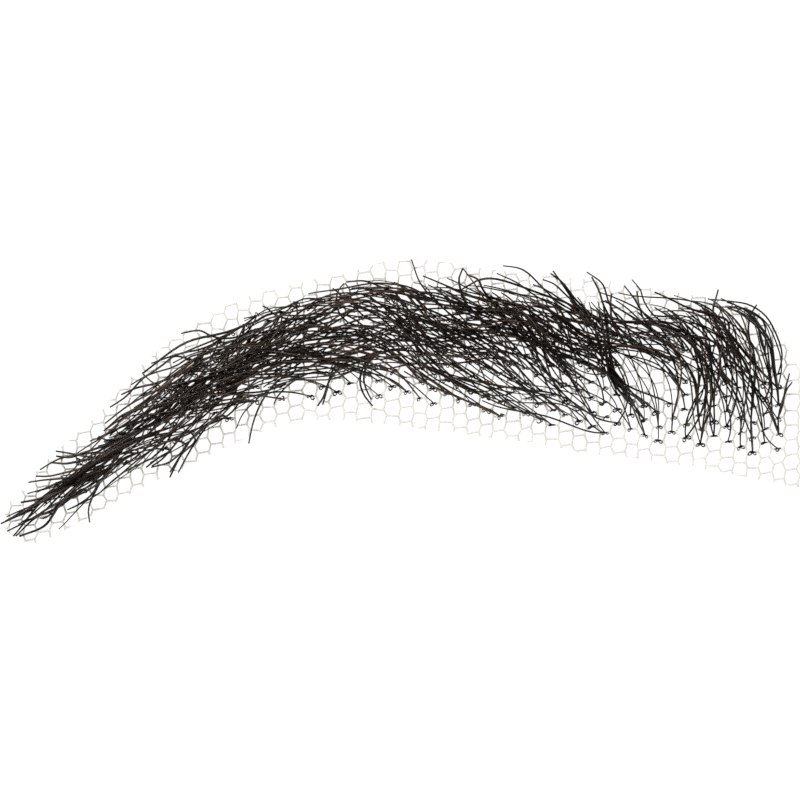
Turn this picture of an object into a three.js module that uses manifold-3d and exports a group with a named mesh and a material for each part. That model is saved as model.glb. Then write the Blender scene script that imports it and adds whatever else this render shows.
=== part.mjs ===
// A hand-tied false eyebrow: dark hair knotted in rows through a cut piece of hexagonal net.
// It lies flat, with the net's underside on the plane z = 0. Sizes are in millimetres.
// +X runs from the thin tail to the full head, +Y points to the forehead and +Z away from the skin.
import * as THREE from "three";
import { mergeGeometries, mergeVertices } from "three/addons/utils/BufferGeometryUtils.js";
import Module from "manifold-3d";

const wasm = await Module();
wasm.setup();

// Sections across the brow, from the tail to the head.
// netLow and netHigh are the net's cut edges, hairLow and hairHigh the edges of the hair.
// root and tip are the ways a hair points at its ends, in degrees from +X towards +Y.
const sections = [
  { x: -32.1, netLow: -10.4, netHigh: -8.6, hairLow: -11, hairHigh: -9.2, root: 207, tip: 208, length: 3 },
  { x: -29, netLow: -11.5, netHigh: -5.2, hairLow: -10.2, hairHigh: -6.2, root: 206, tip: 210, length: 4 },
  { x: -24, netLow: -8.9, netHigh: -0.7, hairLow: -7.2, hairHigh: -2.4, root: 208, tip: 213, length: 8 },
  { x: -18, netLow: -5.5, netHigh: 5.4, hairLow: -3.2, hairHigh: 4, root: 207, tip: 213, length: 10 },
  { x: -12, netLow: -2.7, netHigh: 8.6, hairLow: -0.8, hairHigh: 6.9, root: 198, tip: 208, length: 11 },
  { x: -6, netLow: -1.4, netHigh: 10, hairLow: 1.1, hairHigh: 9, root: 180, tip: 196, length: 11.5 },
  { x: 0, netLow: -2, netHigh: 11.4, hairLow: 1, hairHigh: 9.3, root: 160, tip: 178, length: 12 },
  { x: 7, netLow: -2.9, netHigh: 10.5, hairLow: -0.2, hairHigh: 8.9, root: 146, tip: 168, length: 12 },
  { x: 14, netLow: -4, netHigh: 9.8, hairLow: -1.3, hairHigh: 8.2, root: 130, tip: 166, length: 12.5 },
  { x: 21, netLow: -4.9, netHigh: 8.9, hairLow: -3.1, hairHigh: 8, root: 104, tip: 166, length: 13 },
  { x: 27, netLow: -6, netHigh: 7.8, hairLow: -3.7, hairHigh: 7.3, root: 91, tip: 164, length: 12.5 },
  { x: 30.2, netLow: -6.6, netHigh: 4.8, hairLow: -3.9, hairHigh: 3.8, root: 89, tip: 156, length: 11 },
  { x: 32.1, netLow: -7, netHigh: 1.7, hairLow: -4, hairHigh: 0.4, root: 88, tip: 150, length: 9 },
];
const columns = ["netLow", "netHigh", "hairLow", "hairHigh", "root", "tip", "length"];

// The net's cells show beyond the hair. A cell is whole if its centre lies "inset" within the cut edge.
const net = { thickness: 0.2, thread: 0.22, columnPitch: 1.07, rowPitch: 1.17, inset: 0.36 };
// The closed web of the net under the hair, and the mat of roots that lies on it.
const web = { margin: 0.25, step: 2, tailEnd: -31, headEnd: 30.4 };
const mat = { underside: 0.4, height: 0.6, front: 0.14, back: 0.74, step: 2.6, tailEnd: -30, headEnd: 29.6 };
// Rows of locks lie between two shares of the hair's depth. The upper rows turn towards their tips sooner.
const locks = { rows: 4, front: 0.02, back: 0.72, turn: 0.7, pitch: 4.2, tailEnd: -28.4, headEnd: 30.4 };
const lockSize = { widthShare: 0.165, flatness: 0.5, sides: 5 };
const lift = { root: 0.8, front: 3.4, back: 2, frontTip: 1.5, backTip: 0.9 };
// A lock's outline: its share of the full width at each share of its length.
const lockOutline = [
  { along: 0, width: 0 },
  { along: 0.06, width: 0.5 },
  { along: 0.32, width: 0.95 },
  { along: 0.58, width: 1 },
  { along: 0.83, width: 0.65 },
  { along: 1, width: 0 },
];
const up = new THREE.Vector3(0, 0, 1);
const { clamp, degToRad, lerp } = THREE.MathUtils;
const weldWithin = 1e-4;
const mergeWithin = 0.01;

const brow = new THREE.CubicInterpolant(
  sections.map((section) => section.x),
  sections.flatMap((section) => columns.map((column) => section[column])),
  columns.length,
);

function sectionAt(x) {
  const values = [...brow.evaluate(x)];
  return Object.fromEntries(columns.map((column, index) => [column, values[index]]));
}

function solidOf(geometry) {
  const bare = geometry.clone();
  bare.deleteAttribute("normal");
  bare.deleteAttribute("uv");
  const merged = mergeVertices(bare, weldWithin);
  const vertProperties = new Float32Array(merged.attributes.position.array);
  const triVerts = new Uint32Array(merged.index.array);
  return new wasm.Manifold(new wasm.Mesh({ numProp: 3, vertProperties, triVerts }));
}

// The largest body of a joined solid, with its flat faces merged. Hollows closed in between locks are filled.
function geometryOf(solid) {
  const bodies = solid.asOriginal().simplify(mergeWithin).decompose();
  const mesh = bodies.reduce((best, body) => (body.volume() > best.volume() ? body : best)).getMesh();
  const geometry = new THREE.BufferGeometry();
  geometry.setAttribute("position", new THREE.BufferAttribute(new Float32Array(mesh.vertProperties), 3));
  geometry.setIndex(new THREE.BufferAttribute(new Uint32Array(mesh.triVerts), 1));
  geometry.computeVertexNormals();
  return geometry;
}

// A flat outline between two edges of the brow, each a function of x.
function bandShape(first, last, step, lowEdge, highEdge) {
  const count = Math.round((last - first) / step);
  const xs = Array.from({ length: count + 1 }, (_, index) => lerp(first, last, index / count));
  const low = xs.map((x) => new THREE.Vector2(x, lowEdge(sectionAt(x))));
  const high = xs.map((x) => new THREE.Vector2(x, highEdge(sectionAt(x)))).reverse();
  return new THREE.Shape([...low, ...high]);
}

// The net: whole hexagonal cells where it shows beyond the hair, joined to a closed web under the hair.
const cellSide = net.rowPitch / Math.sqrt(3);
const cellStretch = net.columnPitch / (1.5 * cellSide);

function cellPrism(cell, radius, height) {
  const prism = new THREE.CylinderGeometry(radius, radius, height, 6);
  prism.rotateX(Math.PI / 2);
  prism.rotateZ(Math.PI / 2);
  prism.scale(cellStretch, 1, 1);
  return prism.translate(cell.x, cell.y, net.thickness / 2);
}

function showingCells() {
  const first = sections[0].x + net.columnPitch;
  const last = sections.at(-1).x;
  const cells = [];
  for (let column = 0; first + column * net.columnPitch < last; column += 1) {
    const x = first + column * net.columnPitch;
    const at = sectionAt(x);
    const lowest = Math.ceil(at.netLow / net.rowPitch) - 1;
    for (let row = lowest; row * net.rowPitch < at.netHigh; row += 1) {
      const y = (row + (column % 2) / 2) * net.rowPitch;
      const inside = y > at.netLow + net.inset && y < at.netHigh - net.inset;
      const covered = x < web.headEnd && y > at.hairLow - web.margin && y < at.hairHigh + web.margin;
      if (inside && !covered) cells.push({ x, y });
    }
  }
  return cells;
}

function makeNet() {
  const lowEdge = (at) => at.hairLow - web.margin;
  const highEdge = (at) => at.hairHigh + web.margin;
  const webShape = bandShape(web.tailEnd, web.headEnd, web.step, lowEdge, highEdge);
  const webSheet = new THREE.ExtrudeGeometry(webShape, { depth: net.thickness, bevelEnabled: false });
  const cells = showingCells();
  const outer = cellSide + net.thread / 2;
  const inner = cellSide - net.thread / 2;
  const tiles = cells.map((cell) => solidOf(cellPrism(cell, outer, net.thickness)));
  const gaps = cells.map((cell) => cellPrism(cell, inner, 3 * net.thickness));
  const sheet = wasm.Manifold.union([solidOf(webSheet), ...tiles]);
  return geometryOf(sheet.subtract(solidOf(mergeGeometries(gaps))));
}

// A lock of hair: a flat spindle bent along a curve from its knot to its tip, within the hair's edges.
function withinHair(x, y, z) {
  const at = sectionAt(x);
  return new THREE.Vector3(x, clamp(y, at.hairLow, at.hairHigh), z);
}

function lockCurve(x, row) {
  const at = sectionAt(x);
  const reach = at.length / 2;
  const rootWay = degToRad(lerp(at.root, at.tip, row * locks.turn));
  const tipWay = degToRad(at.tip);
  const y = lerp(at.hairLow, at.hairHigh, lerp(locks.front, locks.back, row));
  const root = new THREE.Vector3(x, y, lift.root);
  const crown = lerp(lift.front, lift.back, row);
  const bend = withinHair(x + reach * Math.cos(rootWay), y + reach * Math.sin(rootWay), crown);
  const low = lerp(lift.frontTip, lift.backTip, row);
  const tip = withinHair(bend.x + reach * Math.cos(tipWay), bend.y + reach * Math.sin(tipWay), low);
  return new THREE.QuadraticBezierCurve3(root, bend, tip);
}

function makeLock(x, row) {
  const curve = lockCurve(x, row);
  const halfWidth = 0.5 * lockSize.widthShare * sectionAt(x).length;
  const outline = lockOutline.map((point) => new THREE.Vector2(point.width, point.along));
  const lock = new THREE.LatheGeometry(outline, lockSize.sides);
  const places = lock.attributes.position;
  for (let index = 0; index < places.count; index += 1) {
    const along = places.getY(index);
    const tangent = curve.getTangent(along);
    const across = tangent.clone().cross(up).normalize();
    const place = curve.getPoint(along);
    place.addScaledVector(across, places.getX(index) * halfWidth);
    place.addScaledVector(across.cross(tangent), places.getZ(index) * halfWidth * lockSize.flatness);
    places.setXYZ(index, place.x, place.y, place.z);
  }
  return lock;
}

function makeHair() {
  const depthShare = (share) => (at) => lerp(at.hairLow, at.hairHigh, share);
  const front = depthShare(mat.front);
  const back = depthShare(mat.back);
  const footprint = bandShape(mat.tailEnd, mat.headEnd, mat.step, front, back);
  const bed = new THREE.ExtrudeGeometry(footprint, { depth: mat.height, bevelEnabled: false });
  let hair = solidOf(bed.translate(0, 0, mat.underside));
  for (let row = 0; row < locks.rows; row += 1) {
    const first = locks.tailEnd + (row % 2) * 0.5 * locks.pitch;
    for (let x = first; x <= locks.headEnd; x += locks.pitch) {
      hair = hair.add(solidOf(makeLock(x, row / (locks.rows - 1))));
    }
  }
  return geometryOf(hair);
}

const eyebrow = new THREE.Group();
const netMaterial = new THREE.MeshStandardMaterial({ color: 0xe1decf, roughness: 0.85, metalness: 0 });
const hairMaterial = new THREE.MeshStandardMaterial({ color: 0x231f20, roughness: 0.45, metalness: 0 });
const pieces = [
  { name: "lace_net", geometry: makeNet(), material: netMaterial },
  { name: "hair", geometry: makeHair(), material: hairMaterial },
];
for (const piece of pieces) {
  const mesh = new THREE.Mesh(piece.geometry, piece.material);
  mesh.name = piece.name;
  eyebrow.add(mesh);
}

// The origin is at the middle of the whole piece, on the net's underside.
const middle = new THREE.Box3().setFromObject(eyebrow).getCenter(new THREE.Vector3());
eyebrow.position.set(-middle.x, -middle.y, 0);

export default eyebrow;
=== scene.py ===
import math

import bmesh
import bpy
import numpy as np
from mathutils import Matrix, Vector, noise


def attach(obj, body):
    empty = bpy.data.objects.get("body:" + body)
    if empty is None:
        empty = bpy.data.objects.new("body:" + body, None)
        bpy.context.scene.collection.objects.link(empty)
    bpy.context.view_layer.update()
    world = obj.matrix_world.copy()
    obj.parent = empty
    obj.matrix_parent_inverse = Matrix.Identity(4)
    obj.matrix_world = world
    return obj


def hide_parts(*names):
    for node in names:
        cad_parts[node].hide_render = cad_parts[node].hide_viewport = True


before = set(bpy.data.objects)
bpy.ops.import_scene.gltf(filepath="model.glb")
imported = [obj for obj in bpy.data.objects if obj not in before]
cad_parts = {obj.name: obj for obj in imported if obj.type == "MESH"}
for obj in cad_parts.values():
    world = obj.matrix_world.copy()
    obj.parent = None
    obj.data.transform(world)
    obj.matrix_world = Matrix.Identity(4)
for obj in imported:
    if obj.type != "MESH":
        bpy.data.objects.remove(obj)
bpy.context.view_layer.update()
mm = 0.001  # the tables below are in millimetres, the scene is in metres
print("frame loaded:", sorted(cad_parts))

# The brow in sections from tail to head. netLow and netHigh are the net's cut edges, rootLow and rootHigh
# the edges of the tied rows, hairLow and hairHigh those of the hair. A way is the heading of the hair
# there, in degrees from +X towards +Y, at the low edge, in the middle and at the high edge. tiedLow and
# tiedHigh are the hairs to a cross thread of the net, near the low and the high edge.
browColumns = (
    "x", "netLow", "netHigh", "rootLow", "rootHigh", "hairLow", "hairHigh",
    "wayLow", "wayMid", "wayHigh", "length", "tiedLow", "tiedHigh",
)
browRows = (
    (-31.7, -10.3, -8.3, -9.0, -9.8, -10.2, -9.3, 208, 207, 206, 4, 1, 1),
    (-30.5, -11.2, -7.4, -8.6, -9.2, -9.6, -8.5, 207, 207, 204, 4.5, 1, 1),
    (-28.9, -11.4, -5.2, -8.5, -7.5, -9.0, -7.0, 209, 204, 198, 5.5, 1.2, 1.5),
    (-27.3, -10.5, -3.8, -8.0, -6.2, -8.6, -5.8, 210, 202, 197, 6.5, 1.7, 1.8),
    (-24.1, -8.8, -0.9, -6.7, -3.9, -7.2, -3.4, 206, 202, 202, 8.5, 2.0, 1.1),
    (-20.9, -7.0, 2.8, -4.5, -0.8, -5.0, 0.0, 189, 216, 221, 10, 0.9, 1.4),
    (-17.7, -5.5, 5.5, -3.2, 2.5, -3.6, 3.3, 187, 219, 236, 11, 0.9, 1.7),
    (-14.5, -3.9, 7.4, -1.6, 5.3, -2.0, 5.4, 186, 207, 232, 11.5, 0.7, 1.9),
    (-11.3, -2.5, 8.7, -0.6, 6.8, -0.7, 6.8, 192, 204, 239, 12, 0.8, 3.2),
    (-8.1, -1.5, 9.5, 0.5, 8.1, 0.6, 8.4, 182, 196, 227, 12, 0.7, 2.6),
    (-4.9, -1.5, 10.1, 1.0, 8.7, 1.0, 8.8, 154, 191, 202, 12, 0.6, 1.5),
    (-1.7, -1.8, 11.1, 0.6, 8.8, 0.7, 9.2, 150, 175, 186, 11.5, 1.4, 0.8),
    (1.5, -2.2, 11.4, 0.4, 8.2, 0.6, 9.0, 144, 144, 168, 11.5, 1.4, 0.7),
    (4.7, -2.6, 10.9, -0.3, 7.7, 0.1, 8.8, 157, 157, 170, 11.5, 1.5, 0.9),
    (7.9, -3.0, 10.4, -1.0, 7.3, -0.6, 8.5, 160, 156, 180, 12, 1.5, 1.1),
    (11.1, -3.4, 10.1, -1.4, 6.9, -1.0, 8.2, 164, 129, 180, 12.5, 1.8, 1.7),
    (14.3, -4.1, 9.8, -2.1, 6.2, -1.8, 7.9, 158, 128, 158, 12.5, 1.7, 2.1),
    (17.5, -4.4, 9.4, -2.3, 5.5, -2.3, 7.6, 110, 142, 163, 12, 2.1, 2.0),
    (20.7, -4.9, 8.9, -3.0, 5.0, -3.0, 7.7, 85, 132, 187, 11.5, 1.4, 2.1),
    (23.9, -5.3, 8.4, -3.4, 4.5, -3.4, 7.8, 87, 113, 192, 11.5, 1.7, 2.2),
    (27.1, -6.0, 7.8, -3.8, 4.3, -3.8, 7.6, 100, 114, 158, 11.5, 1.6, 0.3),
    (29.1, -6.4, 6.8, -3.8, 3.9, -3.8, 6.6, 106, 108, 138, 11, 1.6, 0.3),
    (30.3, -6.6, 5.2, -3.8, 2.9, -3.8, 4.9, 112, 100, 112, 10, 1.2, 0.5),
    (32.3, -7.0, 1.7, -3.8, 1.0, -3.8, 1.4, 98, 94, 100, 8, 1, 1),
)
brow = dict(zip(browColumns, np.array(browRows, float).T))


def browAt(column, x):
    return np.interp(x, brow["x"], brow[column])


def depthAt(x, y):
    low = browAt("hairLow", x)
    return np.clip((y - low) / (browAt("hairHigh", x) - low), 0, 1)  # 0 at the low edge, 1 at the high edge


def wayAt(x, y):
    low, mid, high = browAt("wayLow", x), browAt("wayMid", x), browAt("wayHigh", x)
    depth = depthAt(x, y)
    slope, bend = 4 * mid - 3 * low - high, 2 * low + 2 * high - 4 * mid
    return low + slope * depth + bend * depth**2  # the parabola through the three ways


def addPiece(name, mesh, material, node):
    piece = bpy.data.objects.new(name, mesh)
    bpy.context.scene.collection.objects.link(piece)
    piece.data.materials.clear()
    piece.data.materials.append(material)
    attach(piece, "root")
    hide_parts(node)


# Camera straight above the brow, as the photograph looks at it
shot = {
    "lens": 200, "sensor": 36, "near": 0.01, "far": 10,
    "width": 64, "middle": (-0.12, 0.08),  # mm across the picture, and where its middle is
}
cameraData = bpy.data.cameras.new("overhead")
cameraData.lens = shot["lens"]
cameraData.sensor_width = shot["sensor"]
cameraData.clip_start = shot["near"]
cameraData.clip_end = shot["far"]
camera = bpy.data.objects.new("overhead", cameraData)
camera.location = (
    shot["middle"][0] * mm,
    shot["middle"][1] * mm,
    shot["width"] * shot["lens"] / shot["sensor"] * mm,
)
bpy.context.scene.collection.objects.link(camera)
bpy.context.scene.camera = camera
bpy.context.scene.view_settings.view_transform = "Standard"
print("camera set", [round(value, 4) for value in camera.location])

# Pale floor and soft light, in metres and watts
studio = {
    "floorSize": 1.2, "floorCells": 8, "floorTone": 0.12, "floorGlow": 0.98,
    "floorRough": 0.9, "floorGloss": 0.1,
    "lampSize": 0.35, "keyPlace": (-0.35, 0.4, 0.6), "keyPower": 6.5,
    "fillPlace": (0.4, -0.4, 0.55), "fillPower": 3.25, "skyStrength": 0.1, "white": (1, 1, 1, 1),
}


def makeFloor():
    bm = bmesh.new()
    cells = studio["floorCells"]
    bmesh.ops.create_grid(bm, x_segments=cells, y_segments=cells, size=studio["floorSize"] / 2)
    mesh = bpy.data.meshes.new("paleFloor")
    bm.to_mesh(mesh)
    bm.free()
    floor = bpy.data.objects.new("paleFloor", mesh)
    bpy.context.scene.collection.objects.link(floor)
    material = bpy.data.materials.new("palePaper")
    material.use_nodes = True
    paper = material.node_tree.nodes["Principled BSDF"]
    tone = studio["floorTone"]
    paper.inputs["Base Color"].default_value = (tone, tone, tone, 1)
    paper.inputs["Roughness"].default_value = studio["floorRough"]
    paper.inputs["Specular IOR Level"].default_value = studio["floorGloss"]
    paper.inputs["Emission Color"].default_value = studio["white"]
    paper.inputs["Emission Strength"].default_value = studio["floorGlow"]
    mesh.materials.append(material)


def makeLamp(name, place, power):
    lampData = bpy.data.lights.new(name, "AREA")
    lampData.shape = "DISK"
    lampData.size = studio["lampSize"]
    lampData.energy = power
    lamp = bpy.data.objects.new(name, lampData)
    lamp.location = place
    lamp.rotation_euler = (-Vector(place)).to_track_quat("-Z", "Y").to_euler()
    bpy.context.scene.collection.objects.link(lamp)


makeFloor()
makeLamp("softKey", studio["keyPlace"], studio["keyPower"])
makeLamp("softFill", studio["fillPlace"], studio["fillPower"])
sky = bpy.data.worlds.new("softSky")
sky.use_nodes = True
sky.node_tree.nodes["Background"].inputs["Color"].default_value = studio["white"]
sky.node_tree.nodes["Background"].inputs["Strength"].default_value = studio["skyStrength"]
bpy.context.scene.world = sky
print("floor and lamps set")


# Materials. A fibre's noise mostly lies between low and high
fibre = {"coarseDetail": 3, "fineDetail": 2, "finer": 6, "low": 0.25, "high": 0.75}


def fibreGrainGroup():
    group = bpy.data.node_groups.new("fibreGrain", "ShaderNodeTree")
    group.interface.new_socket("Place", in_out="INPUT", socket_type="NodeSocketVector")
    group.interface.new_socket("Scale", in_out="INPUT", socket_type="NodeSocketFloat")
    group.interface.new_socket("Grain", in_out="OUTPUT", socket_type="NodeSocketFloat")
    group.interface.new_socket("Height", in_out="OUTPUT", socket_type="NodeSocketFloat")
    nodes, links = group.nodes, group.links
    inside = nodes.new("NodeGroupInput")
    outside = nodes.new("NodeGroupOutput")
    coarse = nodes.new("ShaderNodeTexNoise")
    coarse.inputs["Detail"].default_value = fibre["coarseDetail"]
    fine = nodes.new("ShaderNodeTexNoise")
    fine.inputs["Detail"].default_value = fibre["fineDetail"]
    finer = nodes.new("ShaderNodeMath")
    finer.operation = "MULTIPLY"
    finer.inputs[1].default_value = fibre["finer"]
    links.new(inside.outputs["Place"], coarse.inputs["Vector"])
    links.new(inside.outputs["Scale"], coarse.inputs["Scale"])
    links.new(inside.outputs["Place"], fine.inputs["Vector"])
    links.new(inside.outputs["Scale"], finer.inputs[0])
    links.new(finer.outputs[0], fine.inputs["Scale"])
    links.new(coarse.outputs["Fac"], outside.inputs["Grain"])
    links.new(fine.outputs["Fac"], outside.inputs["Height"])
    return group


fibreGrain = fibreGrainGroup()


def startMaterial(name):
    material = bpy.data.materials.new(name)
    material.use_nodes = True
    nodes, links = material.node_tree.nodes, material.node_tree.links
    shader = nodes["Principled BSDF"]
    grain = nodes.new("ShaderNodeGroup")
    grain.node_tree = fibreGrain
    return material, nodes, links, shader, grain


def spread(nodes, links, value, socket, low, high):  # noise, spread between two values of a socket
    ranged = nodes.new("ShaderNodeMapRange")
    ranged.inputs["From Min"].default_value = fibre["low"]
    ranged.inputs["From Max"].default_value = fibre["high"]
    ranged.inputs["To Min"].default_value = low
    ranged.inputs["To Max"].default_value = high
    links.new(value, ranged.inputs["Value"])
    links.new(ranged.outputs["Result"], socket)


def addBump(nodes, links, height, shader, strength, distance):
    bump = nodes.new("ShaderNodeBump")
    bump.inputs["Strength"].default_value = strength
    bump.inputs["Distance"].default_value = distance
    links.new(height, bump.inputs["Height"])
    links.new(bump.outputs["Normal"], shader.inputs["Normal"])


hairLook = {
    "stretch": (3, 40, 1), "streak": 0.5, "sheen": (1, 0.8, 0.68, 1),  # sheen is the colour of the highlights
    "bump": 0.2, "bumpDepth": 0.00001,
}
hairTones = (  # place on the tone scale, linear colour
    (0.0, (0.0013, 0.0008, 0.0006)),
    (0.4, (0.0052, 0.0033, 0.0025)),
    (0.7, (0.0175, 0.0103, 0.0072)),
    (0.85, (0.034, 0.0185, 0.0125)),
    (1.0, (0.095, 0.042, 0.022)),
)


def hairMaterial(name, roughLow, roughHigh, gloss):
    material, nodes, links, shader, grain = startMaterial(name)
    along = nodes.new("ShaderNodeUVMap")
    along.uv_map = "alongHair"
    stretch = nodes.new("ShaderNodeMapping")
    stretch.inputs["Scale"].default_value = hairLook["stretch"]
    links.new(along.outputs["UV"], stretch.inputs["Vector"])
    links.new(stretch.outputs["Vector"], grain.inputs["Place"])
    grain.inputs["Scale"].default_value = 1
    tone = nodes.new("ShaderNodeAttribute")
    tone.attribute_name = "tone"
    ramp = nodes.new("ShaderNodeValToRGB")
    stops = ramp.color_ramp.elements
    stops[0].color = (*hairTones[0][1], 1)
    stops[1].color = (*hairTones[-1][1], 1)
    for place, colour in hairTones[1:-1]:
        stops.new(place).color = (*colour, 1)
    links.new(tone.outputs["Fac"], ramp.inputs["Fac"])
    streak = nodes.new("ShaderNodeMix")
    streak.data_type = "RGBA"
    streak.blend_type = "MULTIPLY"
    streak.inputs["Factor"].default_value = hairLook["streak"]
    links.new(ramp.outputs["Color"], streak.inputs["A"])
    links.new(grain.outputs["Grain"], streak.inputs["B"])
    links.new(streak.outputs["Result"], shader.inputs["Base Color"])
    spread(nodes, links, grain.outputs["Grain"], shader.inputs["Roughness"], roughLow, roughHigh)
    addBump(nodes, links, grain.outputs["Height"], shader, hairLook["bump"], hairLook["bumpDepth"])
    shader.inputs["Specular IOR Level"].default_value = gloss
    shader.inputs["Specular Tint"].default_value = hairLook["sheen"]
    return material


netLook = {
    "grain": 900,  # about a cell of the net
    "tones": ((0.3, (0.7, 0.68, 0.62, 1)), (0.7, (0.81, 0.795, 0.745, 1))),
    "roughLow": 0.5, "roughHigh": 0.75, "gloss": 0.3, "bump": 0.3, "bumpDepth": 0.00002,
}


def netMaterial():
    material, nodes, links, shader, grain = startMaterial("creamThread")
    place = nodes.new("ShaderNodeTexCoord")
    links.new(place.outputs["Object"], grain.inputs["Place"])
    grain.inputs["Scale"].default_value = netLook["grain"]
    ramp = nodes.new("ShaderNodeValToRGB")
    for stop, (position, colour) in zip(ramp.color_ramp.elements, netLook["tones"]):
        stop.position = position
        stop.color = colour
    links.new(grain.outputs["Grain"], ramp.inputs["Fac"])
    links.new(ramp.outputs["Color"], shader.inputs["Base Color"])
    rough = shader.inputs["Roughness"]
    spread(nodes, links, grain.outputs["Grain"], rough, netLook["roughLow"], netLook["roughHigh"])
    addBump(nodes, links, grain.outputs["Height"], shader, netLook["bump"], netLook["bumpDepth"])
    shader.inputs["Specular IOR Level"].default_value = netLook["gloss"]
    return material


tiedHair = hairMaterial("tiedHair", roughLow=0.22, roughHigh=0.36, gloss=0.44)
knottedHair = hairMaterial("knottedHair", roughLow=0.36, roughHigh=0.5, gloss=0.18)
creamThread = netMaterial()
print("materials made")

# The net: hexagonal cells, a little drawn out of true, cut along the brow's outline
net = {
    "columnPitch": 1.07, "rowPitch": 1.17, "shear": 0.13,  # each column lies a little higher than the last
    "anchor": (30.2, -3.8),  # the middle of one cross thread, where the last knot of the head is tied
    "thread": 0.225, "rounding": 1, "corner": 0.16, "weld": 0.05, "margin": 0.9,
    "crossSlope": 0.7, "crossStretch": 1.24,  # a cross thread lies flatter than this slope
    "drift": 0.2, "driftScale": 0.16, "jitter": 0.17, "jitterScale": 2.3, "jitterFrom": (7, 3, 0),
    "bowShare": 0.35, "bowScale": 1.7, "bowFrom": (0, 11, 0),  # a thread bows by a share of the jitter
    "lie": 0.125, "ripple": 0.05, "rippleScale": 0.35, "seed": 4,
}


def netCells():
    pitch, rise = net["columnPitch"], net["rowPitch"]
    anchorX, anchorY = net["anchor"]
    first = math.floor((brow["x"][0] - net["margin"] - anchorX) / pitch)
    last = math.ceil((brow["x"][-1] + net["margin"] - anchorX) / pitch)
    cells = []
    for column in range(first, last + 1):
        x = anchorX + column * pitch
        base = anchorY + rise / 2 + column * net["shear"] + (column % 2) * rise / 2
        low = browAt("netLow", x) - net["margin"]
        high = browAt("netHigh", x) + net["margin"]
        for row in range(math.ceil((low - base) / rise), math.floor((high - base) / rise) + 1):
            cells.append((x, base + row * rise))
    return cells


def settled(place):  # where a point of the net comes to lie
    bow = noise.noise_vector(place * net["bowScale"] + Vector(net["bowFrom"]))
    reach = net["bowShare"] * net["jitter"]
    height = net["lie"] + net["ripple"] * noise.noise(place * net["rippleScale"])
    return Vector((place.x + reach * bow.x, place.y + reach * bow.y, height))


def splitNearCorners(bm):
    for edge in bm.edges[:]:
        start, end = edge.verts
        longer, near = bmesh.utils.edge_split(edge, start, net["corner"])
        if end not in longer.verts:
            longer = next(link for link in near.link_edges if end in link.verts)
        bmesh.utils.edge_split(longer, end, net["corner"] / (1 - net["corner"]))


def isCrossThread(edge):
    run = edge.verts[1].co - edge.verts[0].co
    return abs(run.y) < net["crossSlope"] * abs(run.x)


def netSkeleton():
    bm = bmesh.new()
    tile = Matrix.Identity(4)  # from a regular hexagon to the net's cell
    tile[0][0] = net["columnPitch"] / 1.5
    tile[1][0] = net["shear"] / 1.5
    tile[1][1] = net["rowPitch"] / math.sqrt(3)
    turn = Matrix.Rotation(math.radians(30), 4, "Z")
    for x, y in netCells():
        place = Matrix.Translation((x, y, 0)) @ tile @ turn
        bmesh.ops.create_circle(bm, cap_ends=True, segments=6, radius=1, matrix=place)
    bmesh.ops.remove_doubles(bm, verts=bm.verts[:], dist=net["weld"])
    crossings = [edge for edge in bm.edges if isCrossThread(edge)]
    for edge in crossings:  # a knitted cell has longer cross threads than a regular hexagon
        middle = (edge.verts[0].co + edge.verts[1].co) / 2
        for vert in edge.verts:
            vert.co = middle.lerp(vert.co, net["crossStretch"])
    for vert in bm.verts:
        slow = noise.noise_vector(vert.co * net["driftScale"])
        quick = noise.noise_vector(vert.co * net["jitterScale"] + Vector(net["jitterFrom"]))
        vert.co += net["drift"] * slow + net["jitter"] * quick
    sites = [(edge.verts[0].co + edge.verts[1].co) / 2 for edge in crossings]
    splitNearCorners(bm)
    for vert in bm.verts:
        vert.co = settled(vert.co)
    return bm, np.array([settled(site)[:] for site in sites])


scissors = {"points": 90, "rag": 0.12, "ragScale": 1.1, "ragFrom": 5, "under": -2, "depth": 5}


def cutOutline():
    bm = bmesh.new()
    xs = np.linspace(brow["x"][0], brow["x"][-1], scissors["points"])
    places = [Vector((x * scissors["ragScale"], scissors["ragFrom"], 0)) for x in xs]
    ragged = [scissors["rag"] * noise.noise(place) for place in places]
    lows = [(x, browAt("netLow", x) + rag, scissors["under"]) for x, rag in zip(xs, ragged)]
    highs = [(x, browAt("netHigh", x) + rag, scissors["under"]) for x, rag in zip(xs, ragged)]
    face = bm.faces.new([bm.verts.new(point) for point in lows + highs[::-1]])
    pulled = bmesh.ops.extrude_face_region(bm, geom=[face])["geom"]
    lifted = [part for part in pulled if isinstance(part, bmesh.types.BMVert)]
    bmesh.ops.translate(bm, verts=lifted, vec=(0, 0, scissors["depth"]))
    bmesh.ops.recalc_face_normals(bm, faces=bm.faces[:])
    mesh = bpy.data.meshes.new("scissorCut")
    bm.to_mesh(mesh)
    bm.free()
    return mesh


def keepLargest(bm):
    groups, seen = [], set()
    for start in bm.verts:
        if start in seen:
            continue
        group, todo = [], [start]
        seen.add(start)
        while todo:
            vert = todo.pop()
            group.append(vert)
            for edge in vert.link_edges:
                other = edge.other_vert(vert)
                if other not in seen:
                    seen.add(other)
                    todo.append(other)
        groups.append(group)
    largest = max(groups, key=len)
    for group in groups:
        if group is not largest:
            bmesh.ops.delete(bm, geom=group, context="VERTS")


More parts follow.
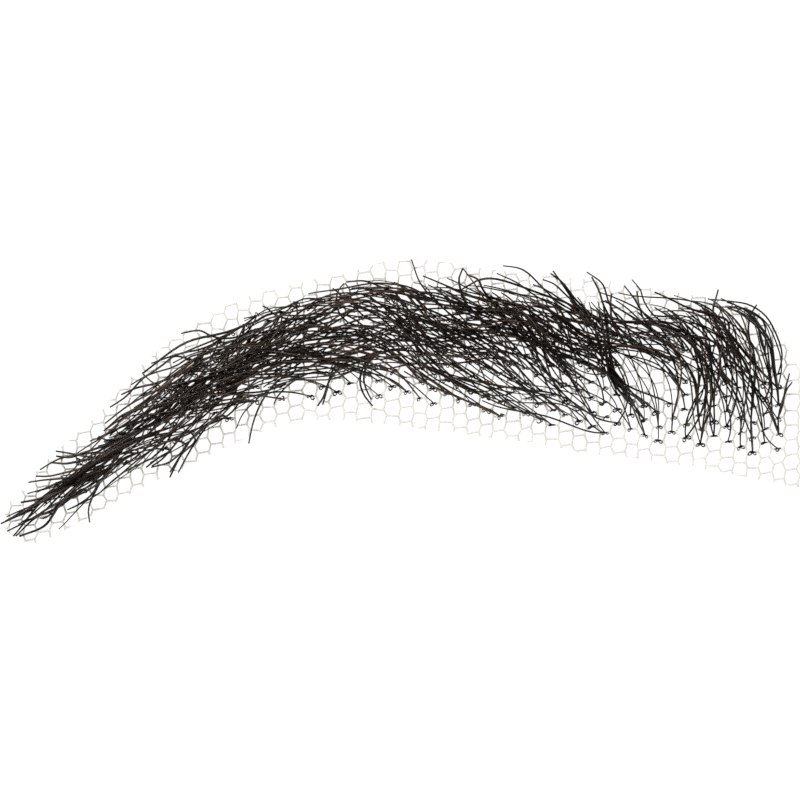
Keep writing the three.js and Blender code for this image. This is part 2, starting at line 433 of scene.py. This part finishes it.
def makeNet():
    noise.seed_set(net["seed"])
    bm, sites = netSkeleton()
    bmesh.ops.wireframe(
        bm, faces=bm.faces[:], thickness=net["thread"],
        use_replace=True, use_boundary=True, use_even_offset=True,
    )
    mesh = bpy.data.meshes.new("netThreads")
    bm.to_mesh(mesh)
    bm.free()
    piece = bpy.data.objects.new("netThreads", mesh)
    cutter = bpy.data.objects.new("scissorCut", cutOutline())
    for item in (piece, cutter):
        bpy.context.scene.collection.objects.link(item)
    rounded = piece.modifiers.new("rounded", "SUBSURF")
    rounded.levels = net["rounding"]
    rounded.render_levels = net["rounding"]
    cut = piece.modifiers.new("cut", "BOOLEAN")
    cut.operation = "INTERSECT"
    cut.solver = "MANIFOLD"
    cut.object = cutter
    shaped = bpy.data.meshes.new_from_object(piece.evaluated_get(bpy.context.evaluated_depsgraph_get()))
    for item in (piece, cutter):
        bpy.data.objects.remove(item)
    bm = bmesh.new()
    bm.from_mesh(shaped)
    keepLargest(bm)
    bmesh.ops.scale(bm, verts=bm.verts[:], vec=(mm, mm, mm))
    for face in bm.faces:
        face.smooth = True
    bm.to_mesh(shaped)
    bm.free()
    shaped.name = "lace_threads"
    addPiece("lace_threads", shaped, creamThread, "lace_net")
    print("net made:", len(shaped.polygons), "faces,", len(sites), "cross threads")
    return sites


crossThreads = makeNet()

# The hair: from each knot a few hairs grow along the ways of the brow, gathered a little into locks
hair = {
    "seed": 11, "radius": 0.062, "strayRadius": 0.078, "sides": 4, "points": 18, "steps": 60, "lockTone": 0.5,
    "bow": 20, "bowLength": 4.5,  # degrees and mm of each hair's first bow
    "strandTurn": 16, "mostTurn": 28, "lockTurn": 9,  # degrees off the brow's way
    "easeSlow": 0.3, "easeQuick": 1.1,  # how soon a hair follows the brow's way, per mm
    "wobble": 14, "waveShort": 5, "waveLong": 13, "lockSpacing": 2.0, "gather": 0.16,
    "shortest": 0.62, "longest": 1.1, "topPress": 0.2, "lowPress": 0.16, "lowRise": 0.18, "uneven": 0.45,
    "hooked": 0.1, "hookRadius": 0.13, "bendShare": 0.4,
    "rootHeight": 0.14, "crownFront": 1.75, "crownBack": 0.7, "tipFront": 0.95, "tipBack": 0.4, "loose": 0.22,
}
# What changes along the brow: places on X, and the value at each of them
alongBrow = {
    "lowRise": ((-10, -4), (0, 1)),  # past the arch, hair leaves the low edge
    "topPress": ((-13, -9, 0, 6), (0.2, 1, 1, 0.2)),  # the arch's top holds best
    "topCut": ((-13, -9, 0, 6), (0, 0.6, 0.6, 0)),  # and is cut longest
    "tangle": ((-25, -8, 4, 18, 22), (0.7, 1, 1.3, 1.3, 1)),  # neater at the ends
}
# The head's rounded front edge: how far the hair reaches at each height
headEdge = {"y": (-3.8, 0.5, 4.1, 6.1, 7.4, 7.8), "x": (30.2, 30.6, 30.4, 29.5, 28.0, 26.7)}
thinSpots = ((18.8, 2.2, 1.6), (20.9, 0.8, 1.8))  # x, y and reach of places where the net is left bare
# Locks that stand out: points from root to tip, the number of hairs and how widely they spread
boldLocks = (
    (((21.1, -0.6), (20.0, 0.0), (18.3, 0.8), (17.1, 1.6), (16.5, 3.4), (16.3, 5.0), (15.9, 8.0)), 3, 0.5),
    (((20.2, -1.2), (19.0, -0.1), (17.6, 1.0), (16.8, 2.1), (16.5, 3.6), (16.2, 6.0), (15.6, 8.7)), 3, 0.5),
    (((19.0, -2.0), (18.2, -0.5), (17.2, 1.2), (16.7, 2.4), (16.5, 3.8), (16.2, 6.4), (15.8, 8.3)), 3, 0.6),
    (((30.3, 0.6), (29.0, 1.9), (28.1, 2.9), (25.9, 5.6), (24.9, 6.6), (23.5, 7.6)), 5, 0.6),
    (((30.2, -2.7), (29.2, -0.7), (27.4, 1.7), (25.7, 3.8), (23.9, 6.0)), 3, 1),
    (((30.2, 1.7), (30.4, 3.3), (29.9, 5.0), (28.9, 6.7), (27.6, 7.5), (26.4, 7.7), (24.0, 7.9)), 3, 0.6),
    (((30.3, -0.5), (30.1, 0.9), (29.8, 2.3), (29.3, 4.8), (28.3, 6.2), (27.0, 7.2), (25.0, 7.8)), 3, 0.8),
    (((28.3, 3.5), (28.3, 4.6), (28.3, 5.7), (27.9, 6.6), (27.0, 7.3), (25.8, 7.6)), 2, 0.6),
    (((10.3, 2.3), (6.3, 4.8), (3.4, 5.9), (0.2, 7.1), (-1.7, 7.8)), 4, 1),
    (((15.9, 2.3), (11.7, 4.3), (9.3, 5.5), (6.8, 5.9), (3.9, 6.3)), 6, 1),
    (((-2.5, 3.9), (-8.0, 4.2), (-9.9, 3.8), (-12.8, 3.1), (-14.9, 2.1)), 4, 1),
    (((-18.1, -1.5), (-21.6, -3.1), (-24.0, -4.6), (-26.6, -6.5), (-29.0, -8.3)), 9, 0.8),
)
# Single hairs that stray past the edges: tip, middle, base and tone
strayColumns = ("tipX", "tipY", "midX", "midY", "baseX", "baseY", "tone")
strayRows = (
    (0.8, 11.3, 1.5, 9.4, 2.8, 7.9, 0.3),
    (1.7, 10.0, 2.9, 9.5, 4.3, 8.9, 0.3),
    (4.9, 10.6, 5.8, 9.4, 6.9, 7.7, 1.0),
    (4.9, 10.6, 4.6, 9.8, 4.7, 8.9, 0.3),
    (5.2, 10.1, 6.1, 9.7, 6.5, 8.9, 0.3),
    (4.8, 8.9, 6.3, 9.7, 9.9, 9.0, 0.3),
    (8.1, 10.8, 9.4, 10.6, 11.6, 8.7, 0.3),
    (7.6, 10.2, 9.3, 9.4, 10.7, 8.4, 0.3),
    (11.3, 9.7, 12.1, 9.4, 13.1, 8.5, 0.3),
    (10.5, 9.3, 11.5, 8.9, 12.7, 8.1, 0.3),
    (12.1, 10.4, 12.8, 9.4, 13.9, 7.8, 0.3),
    (11.9, 10.2, 12.7, 9.6, 13.9, 8.1, 0.3),
    (14.8, 10.3, 16.0, 9.4, 16.6, 7.7, 0.3),
    (15.2, 9.9, 15.8, 8.7, 16.1, 7.7, 0.3),
    (16.8, 8.6, 16.7, 7.9, 16.7, 7.1, 0.9),
    (17.8, 9.2, 18.5, 8.3, 19.1, 7.3, 0.3),
    (18.4, 9.7, 19.1, 8.8, 19.3, 8.1, 0.3),
    (18.8, 8.8, 18.9, 8.1, 19.1, 7.1, 0.3),
    (20.2, 8.7, 21.3, 8.2, 22.7, 7.5, 0.3),
    (25.3, 8.9, 25.1, 8.2, 24.9, 7.6, 0.3),
    (25.5, 8.2, 26.4, 7.8, 27.7, 7.1, 0.3),
    (28.4, 7.7, 28.2, 7.4, 28.0, 7.1, 0.3),
    (31.0, 2.2, 30.8, 1.5, 30.6, 0.7, 0.3),
    (31.2, 1.5, 30.8, 1.0, 30.6, 0.6, 0.3),
    (-4.4, 9.5, -3.1, 9.6, -1.1, 8.9, 0.3),
    (-4.6, 9.4, -5.0, 8.9, -5.2, 8.2, 0.3),
    (-4.5, 9.4, -4.2, 9.0, -4.0, 8.1, 0.3),
    (-5.5, 9.0, -5.1, 8.7, -4.6, 8.2, 0.3),
    (-4.1, 8.9, -3.3, 9.0, -2.1, 8.8, 0.3),
    (-11.1, 7.6, -10.7, 7.4, -10.4, 7.1, 0.3),
    (-12.6, 6.6, -11.6, 6.8, -10.7, 7.1, 0.3),
    (-17.6, 5.4, -16.0, 5.6, -15.2, 5.2, 0.3),
    (-20.7, 2.2, -17.1, 4.7, -13.6, 5.6, 0.3),
    (-20.7, 2.2, -19.9, 1.5, -18.8, 1.0, 0.3),
    (-20.0, 3.0, -18.6, 3.5, -17.2, 3.9, 0.3),
    (-23.7, -1.8, -21.7, -0.3, -19.5, 0.9, 0.9),
    (-23.3, -0.5, -22.2, 0.2, -20.5, 1.9, 0.3),
    (-22.4, 0.5, -21.3, 1.0, -19.7, 1.4, 0.3),
    (-21.6, 1.3, -20.8, 1.8, -19.6, 2.3, 0.3),
    (-23.8, -2.4, -23.1, -1.8, -22.4, -1.2, 0.3),
    (-23.3, -2.8, -22.9, -2.2, -22.4, -1.5, 0.3),
    (-24.2, -2.8, -23.6, -3.1, -22.9, -3.0, 0.3),
    (-27.6, -4.0, -26.3, -4.2, -25.3, -4.4, 0.3),
    (-27.6, -4.4, -26.5, -4.5, -25.3, -4.1, 0.3),
    (-28.0, -4.9, -26.9, -5.0, -25.3, -4.7, 0.3),
    (-28.9, -5.5, -28.1, -5.0, -27.3, -4.6, 0.3),
    (-29.2, -6.0, -28.1, -6.0, -27.2, -5.8, 0.9),
    (-29.8, -6.5, -28.5, -6.3, -27.3, -6.2, 0.3),
    (-29.9, -7.4, -28.5, -7.0, -27.3, -6.5, 0.3),
    (-30.4, -8.1, -28.9, -7.8, -27.3, -7.1, 0.3),
    (-32.0, -9.8, -30.1, -8.9, -28.1, -7.7, 0.3),
    (-31.6, -9.6, -29.7, -8.6, -27.7, -7.3, 0.3),
    (-31.5, -10.4, -29.7, -9.5, -27.7, -8.3, 0.3),
    (-31.0, -10.8, -30.1, -9.7, -29.5, -8.9, 0.3),
    (-30.8, -10.8, -29.3, -9.4, -27.3, -8.4, 0.3),
    (-30.5, -10.8, -28.4, -9.9, -27.2, -8.2, 0.3),
    (-26.7, -8.7, -25.7, -8.2, -24.5, -7.1, 0.3),
    (-24.9, -9.7, -25.0, -8.8, -24.3, -7.0, 0.3),
    (-20.4, -5.3, -19.5, -4.6, -18.5, -3.9, 0.3),
    (-20.0, -5.3, -18.4, -4.8, -17.3, -3.4, 0.3),
    (-18.5, -6.1, -17.7, -4.5, -16.8, -3.1, 0.3),
    (-18.5, -5.7, -17.6, -4.3, -16.5, -3.0, 0.3),
    (-17.8, -5.7, -16.8, -3.9, -15.3, -1.8, 0.3),
    (-12.2, -3.4, -11.8, -1.6, -11.0, 0.2, 0.3),
    (-13.2, -2.2, -12.7, -1.1, -11.9, -0.2, 0.3),
    (-6.7, -0.4, -6.3, 0.2, -5.7, 1.7, 0.3),
    (-6.3, -0.3, -6.0, 0.7, -5.6, 2.2, 0.3),
    (-2.3, -0.4, -3.0, 0.5, -3.3, 1.4, 0.3),
    (-2.4, 0.1, -2.8, 0.9, -3.0, 1.6, 0.3),
    (-10.2, -0.3, -10.0, 0.2, -9.7, 0.6, 0.3),
)


def alongAt(name, x):
    places, values = alongBrow[name]
    return np.interp(x, places, values)


def frontAt(y):
    return np.interp(y, headEdge["y"], headEdge["x"])


def pointsAt(wanted, places, path):
    return np.stack([np.interp(wanted, places, line) for line in path.T], axis=1)


def smoothPath(points, count):
    points = np.array(points, float)
    gaps = np.linalg.norm(np.diff(points, axis=0), axis=1)
    place = np.concatenate([[0], np.cumsum(gaps)])
    slope = np.gradient(points, place, axis=0)
    at = np.linspace(0, place[-1], count)
    index = np.clip(np.searchsorted(place, at, side="right") - 1, 0, len(gaps) - 1)
    width = gaps[index][:, None]
    share = ((at - place[index]) / gaps[index])[:, None]
    start = points[index] * (1 + 2 * share) + slope[index] * width * share
    end = points[index + 1] * (3 - 2 * share) - slope[index + 1] * width * (1 - share)
    return start * (1 - share) ** 2 + end * share**2


tying = {
    "below": 0.35, "above": 0.2, "ahead": 0.1,  # mm past the edges of the tied rows
    "fewest": -0.35, "most": 1.35,  # chance in the number of hairs to a knot
}


def tiedSites(sites, rng):
    x, y = sites[:, 0], sites[:, 1]
    inside = (y > browAt("rootLow", x) - tying["below"]) & (y < browAt("rootHigh", x) + tying["above"])
    inside &= (x > brow["x"][0]) & (x < frontAt(y) + tying["ahead"])
    for spotX, spotY, reach in thinSpots:
        inside &= np.hypot(x - spotX, y - spotY) > reach
    depth = depthAt(x, y)
    wanted = browAt("tiedLow", x) * (1 - depth) + browAt("tiedHigh", x) * depth
    counts = np.floor(wanted + rng.uniform(tying["fewest"], tying["most"], len(x))).astype(int)
    tied = inside & (counts > 0)
    return sites[tied], counts[tied]


def nearest(points, others):
    gaps = np.linalg.norm(points[:, None, :2] - others[None, :, :2], axis=2)
    return np.argmin(gaps, axis=1)


def withLockSites(sites, tied):  # a lock that stands out has a knot where it starts
    starts = np.array([points[0] for points, _, _ in boldLocks])
    chosen = sites[np.unique(nearest(starts, sites))]
    apart = np.linalg.norm(chosen[:, None] - tied[None], axis=2).min(axis=1)
    return np.concatenate([tied, chosen[apart > 0]])


growth = {
    "wobbleLeast": 0.3, "wobbleMost": 1.5, "frontGap": 1.8, "frontPress": 0.08,
    "under": 0.25, "over": -0.25, "overSpread": 1.2,  # how far past the low and the high edge a hair may lie
}


def growPaths(roots, offsets, bows, lengths, rng):
    count = len(roots)
    place = roots[:, :2].copy()
    heading = wayAt(place[:, 0], place[:, 1]) + offsets
    step = lengths / hair["steps"]
    follow = 1 - np.exp(-rng.uniform(hair["easeSlow"], hair["easeQuick"], count) * step)
    phase = rng.random(count) * 2 * math.pi
    wave = rng.uniform(hair["waveShort"], hair["waveLong"], count)
    wobble = hair["wobble"] * rng.uniform(growth["wobbleLeast"], growth["wobbleMost"], count)
    back = rng.uniform(0, growth["frontGap"], count)  # how far a hair keeps behind the head's front edge
    below = np.clip(browAt("hairLow", place[:, 0]) - place[:, 1], 0, None)
    under = below + rng.exponential(growth["under"], count)
    rise = hair["lowRise"] * alongAt("lowRise", place[:, 0])
    over = rng.normal(growth["over"], growth["overSpread"] * hair["uneven"], count)
    path = [place.copy()]
    for index in range(hair["steps"]):
        run = step * index
        sway = wobble * np.sin(2 * math.pi * run / wave + phase)
        bowed = bows * np.cos(math.pi * np.minimum(run / hair["bowLength"], 1))  # out from the knot and back
        target = wayAt(place[:, 0], place[:, 1]) + offsets + sway
        heading += follow * (target - heading)
        angle = np.radians(heading + bowed * np.exp(-run / hair["bowLength"]))
        place = place + step[:, None] * np.stack([np.cos(angle), np.sin(angle)], axis=1)
        edge = frontAt(place[:, 1]) - back
        place[:, 0] -= growth["frontPress"] * np.clip(place[:, 0] - edge, 0, None)
        low = browAt("hairLow", place[:, 0]) - under + rise * run
        high = browAt("hairHigh", place[:, 0]) + over
        place[:, 1] += hair["lowPress"] * np.clip(low - place[:, 1], 0, None)  # the edges turn a hair back
        press = hair["topPress"] * alongAt("topPress", place[:, 0])
        place[:, 1] -= press * np.clip(place[:, 1] - high, 0, None)
        path.append(place.copy())
    return np.stack(path, axis=1)


gathering = {"blur": 0.8, "peak": 0.8, "least": 0.2, "most": 1.3}  # how hairs are drawn into locks
lowRoots = {"depth": 0.12, "before": 16, "turn": -0.4}  # hair tied at the low edge turns up into the rest


def grownHair(sites, counts, rng):
    roots = np.repeat(sites, counts, axis=0)
    count = len(roots)
    lockCount = int(len(sites) * net["columnPitch"] * net["rowPitch"] / hair["lockSpacing"] ** 2)
    lockRoots = sites[rng.choice(len(sites), size=lockCount, replace=False)]
    lockTurns = rng.normal(0, hair["lockTurn"], lockCount)
    lock = nearest(roots + rng.normal(0, gathering["blur"], roots.shape), lockRoots)
    tangle = alongAt("tangle", roots[:, 0])
    turns = lockTurns[lock] + rng.normal(0, hair["strandTurn"], count) * tangle
    turns = np.clip(turns, -hair["mostTurn"], hair["mostTurn"])
    bows = np.clip(rng.normal(0, hair["bow"], count), -hair["mostTurn"], hair["mostTurn"])
    lowest = (depthAt(roots[:, 0], roots[:, 1]) < lowRoots["depth"]) & (roots[:, 0] < lowRoots["before"])
    turns = np.where(lowest, lowRoots["turn"] * np.abs(turns), turns)
    bows = np.where(lowest, lowRoots["turn"] * np.abs(bows), bows)
    lengths = browAt("length", roots[:, 0]) * rng.uniform(hair["shortest"], hair["longest"], count)
    paths = growPaths(roots, turns, bows, lengths, rng)
    guides = growPaths(lockRoots, lockTurns, np.zeros(lockCount), browAt("length", lockRoots[:, 0]), rng)
    share = np.linspace(0, 1, hair["steps"] + 1)
    pull = hair["gather"] * np.sin(math.pi * share ** gathering["peak"]) ** 2
    pull = pull[None, :] * rng.uniform(gathering["least"], gathering["most"], count)[:, None]
    paths += pull[:, :, None] * (guides[lock] - paths)
    return paths


lockShape = {"rootSpread": 0.9, "close": 0.14, "tipSpread": 0.35, "scatter": 0.15, "shortest": 0.8}


def lockHair(sites, rng):
    paths = []
    share = np.linspace(0, 1, hair["steps"] + 1)[:, None]
    fanned = lockShape["rootSpread"] * (1 - share) ** 3
    width = fanned + lockShape["close"] + lockShape["tipSpread"] * share**3  # closest in the middle
    for points, count, loose in boldLocks:
        middle = smoothPath(points, hair["steps"] + 1)
        along = np.gradient(middle, axis=0)
        across = np.stack([-along[:, 1], along[:, 0]], axis=1)
        across /= np.linalg.norm(across, axis=1, keepdims=True)
        for _ in range(count):
            aside = rng.normal(0, loose)
            path = middle + across * width * aside + rng.normal(0, lockShape["scatter"] * loose, 2)
            site = sites[nearest(path[None, 0], sites)[0], :2]
            path += (site - path[0]) * (1 - share) ** 4
            stop = rng.uniform(lockShape["shortest"], 1)
            paths.append(pointsAt(share[:, 0] * stop, share[:, 0], path))
    return np.array(paths)


strayShape = {"step": 1.1, "turns": (0.2, 0.45, 0.7, 0.9), "under": 1.2, "mostDrop": 0.25}


def strayHair(sites):
    paths = []
    for row in strayRows:
        stray = dict(zip(strayColumns, row))
        points = [np.array([stray[part + "X"], stray[part + "Y"]]) for part in ("tip", "mid", "base")]
        middle, place = points[1:]
        heading = math.degrees(math.atan2(middle[1] - place[1], middle[0] - place[0]))
        for share in strayShape["turns"]:  # back to the knot that holds it, turning into the brow's way
            turn = (wayAt(*place) - heading + 180) % 360 - 180
            way = math.radians(heading + share * turn)
            place = place - strayShape["step"] * np.array([math.cos(way), math.sin(way)])
            above = place[1] - browAt("hairHigh", place[0]) + strayShape["under"] * share
            place[1] -= np.clip(above, 0, strayShape["mostDrop"])
            if place[1] < browAt("rootLow", place[0]) or place[0] > frontAt(place[1]):
                break
            points.append(place)
        site = sites[nearest(points[-1][None], sites)[0], :2]
        points = points[:max(3, len(points) - 1)] + [site]
        paths.append(smoothPath(points[::-1], hair["steps"] + 1))
    return np.array(paths)


trim = {"pastTail": 0.3, "tailSpread": 0.9, "uncut": 8}  # the first eighth of a hair isn't cut


def trimmed(paths, rng):
    kept = []
    for path in paths:
        x, y = path[:, 0], path[:, 1]
        over = rng.normal(0, hair["uneven"]) + alongAt("topCut", x)
        tailEnd = brow["x"][0] - trim["pastTail"] + rng.exponential(trim["tailSpread"])
        out = (y > browAt("hairHigh", x) + over) | (x < tailEnd)
        out[: len(out) // trim["uncut"]] = False
        end = int(np.argmax(out)) if out.any() else len(path) - 1
        share = np.linspace(0, 1, len(path))
        kept.append(pointsAt(share * share[end], share, path))
    return np.array(kept)


hook = {"turn": 1.2 * math.pi, "points": 7, "smallest": 0.8, "largest": 1.4, "crowding": 1.6}


def hookedRoots(paths, rng):  # some hairs start in a small hook below their knot
    turn = np.linspace(hook["turn"], 0, hook["points"])[:-1]
    for index in np.flatnonzero(rng.random(len(paths)) < hair["hooked"]):
        path = paths[index]
        along = path[2] - path[0]
        along /= np.linalg.norm(along)
        across = np.array([-along[1], along[0]]) * rng.choice((-1, 1))
        radius = hair["hookRadius"] * rng.uniform(hook["smallest"], hook["largest"])
        curl = path[0] + radius * (across * (1 - np.cos(turn))[:, None] - along * np.sin(turn)[:, None])
        dense = np.concatenate([curl, path])
        run = np.concatenate([[0], np.cumsum(np.linalg.norm(np.diff(dense, axis=0), axis=1))])
        at = run[-1] * np.linspace(0, 1, len(path)) ** hook["crowding"]
        paths[index] = pointsAt(at, run, dense)
    return paths


def resampled(paths):  # points lie closer together where a hair bends
    wanted = np.linspace(0, 1, hair["points"])
    steps = np.diff(paths, axis=1)
    length = np.linalg.norm(steps, axis=2)
    way = np.unwrap(np.arctan2(steps[:, :, 1], steps[:, :, 0]), axis=1)
    weight = length / length.sum(axis=1, keepdims=True) + hair["bendShare"] * np.abs(np.gradient(way, axis=1))
    place = np.concatenate([np.zeros((len(paths), 1)), np.cumsum(weight, axis=1)], axis=1)
    place /= place[:, -1:]
    return np.array([pointsAt(wanted, at, path) for at, path in zip(place, paths)])


lift = {"fullLength": 11, "leastSize": 0.25, "crownPlace": 0.75, "lowest": 0.1, "highest": 2.75}


def raised(paths, rng):
    count = len(paths)
    depth = depthAt(paths[:, 0, 0], paths[:, 0, 1])
    steps = np.linalg.norm(np.diff(paths, axis=1), axis=2)
    run = np.concatenate([np.zeros((count, 1)), np.cumsum(steps, axis=1)], axis=1)
    size = np.clip(run[:, -1] / lift["fullLength"], lift["leastSize"], 1)
    heights = []
    for part in ("crown", "tip"):
        usual = np.interp(depth, (0, 1), (hair[part + "Front"], hair[part + "Back"]))
        heights.append(usual * rng.normal(1, hair["loose"], count))
    crown, tip = heights
    share = run / run[:, -1:]
    arch = np.sin(math.pi * share ** lift["crownPlace"])
    height = (size * tip)[:, None] * share + (size * crown)[:, None] * arch
    height = np.clip(hair["rootHeight"] + height, lift["lowest"], lift["highest"])
    return np.concatenate([paths, height[:, :, None]], axis=2)


def hairMesh(name, verts, faces, tones, around, along):  # tone and place on the hair, for each vertex
    mesh = bpy.data.meshes.new(name)
    mesh.from_pydata((verts.reshape(-1, 3) * mm).tolist(), [], faces.reshape(-1, 4).tolist())
    toneData = mesh.attributes.new("tone", "FLOAT", "POINT")
    toneData.data.foreach_set("value", tones.astype(np.float32))
    loops = np.empty(len(mesh.loops), np.int32)
    mesh.loops.foreach_get("vertex_index", loops)
    uv = np.stack([around[loops], along[loops]], axis=1)
    mesh.uv_layers.new(name="alongHair").data.foreach_set("uv", uv.astype(np.float32).ravel())
    mesh.shade_smooth()
    return mesh


tube = {"places": (0, 0.08, 0.75, 1), "widths": (0.85, 1, 1, 0.75), "apart": 1.37}  # thinner at both ends


def tubeMesh(name, paths, radii, tones):
    count, points = paths.shape[:2]
    sides = hair["sides"]
    tangent = np.gradient(paths, axis=1)
    tangent /= np.linalg.norm(tangent, axis=2, keepdims=True)
    side = np.cross(tangent, (0.0, 0.0, 1.0))
    side /= np.linalg.norm(side, axis=2, keepdims=True)
    over = np.cross(side, tangent)
    angle = 2 * math.pi * np.arange(sides) / sides
    along = np.linspace(0, 1, points)
    taper = np.interp(along, tube["places"], tube["widths"])
    radius = radii[:, None] * taper[None, :]
    ring = side[:, :, None] * np.cos(angle)[:, None] + over[:, :, None] * np.sin(angle)[:, None]
    verts = paths[:, :, None] + radius[:, :, None, None] * ring
    near, turn = np.meshgrid(np.arange(points - 1), np.arange(sides), indexing="ij")
    start, after = near * sides + turn, near * sides + (turn + 1) % sides
    wall = np.stack([start + sides, after + sides, after, start], axis=-1).reshape(-1, 4)
    rim = np.arange(sides)
    caps = np.stack([rim, ((points - 1) * sides + rim)[::-1]])
    one = np.concatenate([wall, caps])
    faces = one[None] + (np.arange(count) * points * sides)[:, None, None]
    index = np.arange(count * points * sides)
    place = along[(index // sides) % points] + tube["apart"] * (index // (sides * points))
    return hairMesh(name, verts, faces, np.repeat(tones.ravel(), sides), (index % sides) / sides, place)


tinting = {
    "most": 0.94, "darkBias": 1.65, "thicknessSpread": 0.16,
    "warm": 0.6, "warmBias": 4, "spotFrom": -0.1, "spotLength": 0.15,  # a hair is browner in places
}
sectors = {"tail_hair": (-40, -14), "arch_hair": (-14, 2), "middle_hair": (2, 16), "head_hair": (16, 40)}


def makeHair(sites, counts, allSites):
    rng = np.random.default_rng(hair["seed"])
    grown = trimmed(grownHair(sites, counts, rng), rng)
    bold = lockHair(allSites, rng)
    strays = strayHair(allSites)
    paths = hookedRoots(np.concatenate([grown, bold, strays]), rng)
    paths = raised(resampled(paths), rng)
    tones = tinting["most"] * rng.random(len(paths)) ** tinting["darkBias"]
    tones[-len(strays):] = [row[-1] for row in strayRows]
    warm = tinting["warm"] * rng.random(len(paths)) ** tinting["warmBias"]
    spot = rng.uniform(tinting["spotFrom"], 1, len(paths))
    share = np.linspace(0, 1, hair["points"])[None, :]
    near = np.exp(-(((share - spot[:, None]) / tinting["spotLength"]) ** 2))
    tones = tones[:, None] + warm[:, None] * near
    tones[len(grown):-len(strays)] *= hair["lockTone"]
    tones = np.clip(tones, 0, 1)
    radii = hair["radius"] * rng.normal(1, tinting["thicknessSpread"], len(paths))
    radii[-len(strays):] *= hair["strayRadius"] / hair["radius"]
    for name, (first, last) in sectors.items():
        chosen = (paths[:, 0, 0] >= first) & (paths[:, 0, 0] < last)
        mesh = tubeMesh(name, paths[chosen], radii[chosen], tones[chosen])
        addPiece(name, mesh, tiedHair, "hair")
        print(name, int(chosen.sum()), "hairs", len(mesh.polygons), "faces")


# The knots: each hair is looped round a cross thread, and shows as two small eyes with a bar between
knot = {
    "eye": 0.19, "narrow": 0.68, "lean": 38, "apart": 0.18, "drop": -0.4, "wire": 0.063, "bar": 1.3,
    "sides": 4, "steps": 7, "smallest": 0.8, "largest": 1.15, "lesser": 0.5, "mostTilt": 85,
    "yaw": 6, "yawSpread": 14, "height": 0.06, "lowest": 0.02, "darkBias": 2.2, "grainShift": 0.37, "seed": 5,
}


def knotShape():
    bm = bmesh.new()
    for side in (-1, 1):
        before = set(bm.verts)
        circle = bmesh.ops.create_circle(bm, segments=knot["sides"], radius=knot["wire"])["verts"]
        bmesh.ops.rotate(bm, verts=circle, matrix=Matrix.Rotation(math.pi / 2, 3, "X"))
        bmesh.ops.translate(bm, verts=circle, vec=(knot["eye"], 0, 0))
        edges = list(dict.fromkeys(edge for vert in circle for edge in vert.link_edges))
        bmesh.ops.spin(
            bm, geom=circle + edges, cent=(0, 0, 0), axis=(0, 0, 1),
            angle=2 * math.pi, steps=knot["steps"], use_merge=True,
        )
        eye = [vert for vert in bm.verts if vert not in before]
        bmesh.ops.scale(bm, verts=eye, vec=(knot["narrow"], 1, 1))
        lean = Matrix.Rotation(math.radians(side * knot["lean"]), 3, "Z")
        bmesh.ops.rotate(bm, verts=eye, matrix=lean)
        bmesh.ops.translate(bm, verts=eye, vec=(side * knot["apart"], knot["drop"] * knot["eye"], 0))
    thick = knot["bar"] * knot["wire"]
    bar = Matrix.Diagonal((knot["apart"], thick, thick, 1)) @ Matrix.Rotation(math.pi / 2, 4, "Y")
    bmesh.ops.create_cone(
        bm, cap_ends=True, segments=knot["sides"], radius1=1, radius2=1, depth=2, matrix=bar,
    )
    bmesh.ops.recalc_face_normals(bm, faces=bm.faces[:])
    bm.verts.index_update()
    verts = np.array([vert.co[:] for vert in bm.verts])
    faces = np.array([[vert.index for vert in face.verts] for face in bm.faces])
    bm.free()
    return verts, faces


def turned(first, second, angle):
    cos, sin = np.cos(angle)[:, None], np.sin(angle)[:, None]
    return first * cos - second * sin, first * sin + second * cos


def makeKnots(sites):
    rng = np.random.default_rng(knot["seed"])
    verts, faces = knotShape()
    count = len(sites)
    size = rng.uniform(knot["smallest"], knot["largest"], count)
    tilt = np.radians(rng.uniform(0, knot["mostTilt"], count))
    yaw = np.radians(rng.normal(knot["yaw"], knot["yawSpread"], count))
    eyeSide = rng.choice((-1, 1), size=count)
    lesser = rng.uniform(knot["lesser"], 1, count)  # one eye of a knot is often pulled small
    size = np.where(verts[None, :, 0] * eyeSide[:, None] > 0, (size * lesser)[:, None], size[:, None])
    x, y, z = (verts[None, :, axis] * size for axis in range(3))
    y, z = turned(y, z, tilt)
    x, y = turned(x, y, yaw)
    placed = np.stack([x, y, z], axis=2) + sites[:, None, :] + np.array([0, 0, knot["height"]])
    placed[:, :, 2] = np.clip(placed[:, :, 2], knot["lowest"], None)
    allFaces = faces[None] + (np.arange(count) * len(verts))[:, None, None]
    tones = np.repeat(rng.random(count) ** knot["darkBias"], len(verts))
    around = np.tile(np.arctan2(verts[:, 1], verts[:, 0]) / (2 * math.pi), count)
    along = np.repeat(knot["grainShift"] * np.arange(count), len(verts))
    mesh = hairMesh("hair_knots", placed, allFaces, tones, around, along)
    addPiece("hair_knots", mesh, knottedHair, "hair")
    print("hair_knots", count, "knots", len(mesh.polygons), "faces")


knotSites, hairCounts = tiedSites(crossThreads, np.random.default_rng(hair["seed"]))
allSites = withLockSites(crossThreads, knotSites)
makeHair(knotSites, hairCounts, allSites)
makeKnots(allSites)
